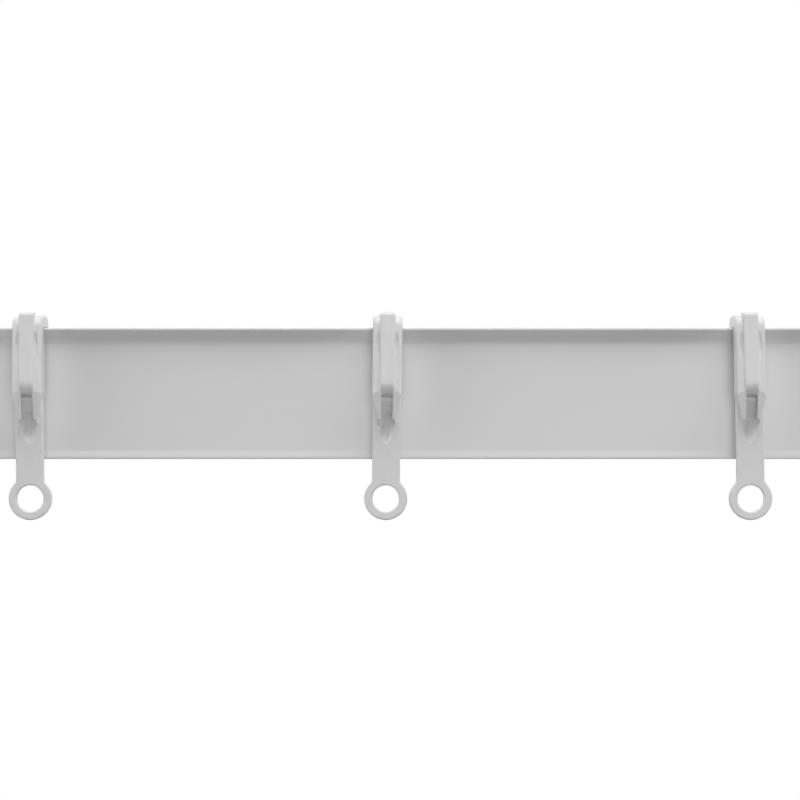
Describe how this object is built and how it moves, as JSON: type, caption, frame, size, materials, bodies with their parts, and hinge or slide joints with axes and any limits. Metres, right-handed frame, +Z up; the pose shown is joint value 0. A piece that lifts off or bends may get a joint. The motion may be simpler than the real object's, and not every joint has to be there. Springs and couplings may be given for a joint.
{
  "type": "curtain rail",
  "caption": "White flat-fronted curtain rail on turn-lock wall brackets, with one-piece gliders that hook over its top edge and carry an eye below.",
  "frame": {"origin": "on the wall plane, behind the middle of the rail and level with the middle of the fascia", "axes": "+X along the rail, to the right as seen from the room; +Y into the wall; +Z up"},
  "size_m": [0.604, 0.0453, 0.044],
  "materials": {
    "rail_upvc": "satin extruded white uPVC",
    "glider_acetal": "smooth moulded white acetal",
    "moulded_white": "fine-textured moulded white nylon",
    "zinc_steel": "bright zinc-plated steel"
  },
  "bodies": {
    "track": {"rail": "rail_upvc", "bracket_left": "moulded_white", "bracket_centre": "moulded_white", "bracket_right": "moulded_white", "end_stop_left": "moulded_white", "end_stop_right": "moulded_white", "end_screw_left": "zinc_steel", "end_screw_right": "zinc_steel"},
    "glider_1": {"glider_1": "glider_acetal"},
    "glider_2": {"glider_2": "glider_acetal"},
    "glider_3": {"glider_3": "glider_acetal"},
    "glider_4": {"glider_4": "glider_acetal"},
    "glider_5": {"glider_5": "glider_acetal"},
    "glider_6": {"glider_6": "glider_acetal"},
    "glider_7": {"glider_7": "glider_acetal"},
    "glider_8": {"glider_8": "glider_acetal"},
    "lock_left": {"lock_cam_left": "moulded_white", "lock_lever_left": "moulded_white", "lock_screw_left": "zinc_steel"},
    "lock_centre": {"lock_cam_centre": "moulded_white", "lock_lever_centre": "moulded_white", "lock_screw_centre": "zinc_steel"},
    "lock_right": {"lock_cam_right": "moulded_white", "lock_lever_right": "moulded_white", "lock_screw_right": "zinc_steel"}
  },
  "joints": [
    {"name": "glider_1_slide", "type": "slide", "parent": "track", "child": "glider_1", "axis": [1, 0, 0], "range_m": [-0.0638, 0.0609]},
    {"name": "glider_2_slide", "type": "slide", "parent": "track", "child": "glider_2", "axis": [1, 0, 0], "range_m": [-0.0609, 0.0595]},
    {"name": "glider_3_slide", "type": "slide", "parent": "track", "child": "glider_3", "axis": [1, 0, 0], "range_m": [-0.0595, 0.0612]},
    {"name": "glider_4_slide", "type": "slide", "parent": "track", "child": "glider_4", "axis": [1, 0, 0], "range_m": [-0.0612, 0.0606]},
    {"name": "glider_5_slide", "type": "slide", "parent": "track", "child": "glider_5", "axis": [1, 0, 0], "range_m": [-0.0606, 0.0587]},
    {"name": "glider_6_slide", "type": "slide", "parent": "track", "child": "glider_6", "axis": [1, 0, 0], "range_m": [-0.0587, 0.0597]},
    {"name": "glider_7_slide", "type": "slide", "parent": "track", "child": "glider_7", "axis": [1, 0, 0], "range_m": [-0.0597, 0.0592]},
    {"name": "glider_8_slide", "type": "slide", "parent": "track", "child": "glider_8", "axis": [1, 0, 0], "range_m": [-0.0592, 0.0272]},
    {"name": "lock_left_turn", "type": "hinge", "parent": "track", "child": "lock_left", "pos_m": [-0.25, -0.03085, 0], "axis": [0, 1, 0], "range_deg": [0, 90]},
    {"name": "lock_centre_turn", "type": "hinge", "parent": "track", "child": "lock_centre", "pos_m": [0, -0.03085, 0], "axis": [0, 1, 0], "range_deg": [0, 90]},
    {"name": "lock_right_turn", "type": "hinge", "parent": "track", "child": "lock_right", "pos_m": [0.25, -0.03085, 0], "axis": [0, 1, 0], "range_deg": [0, 90]}
  ]
}
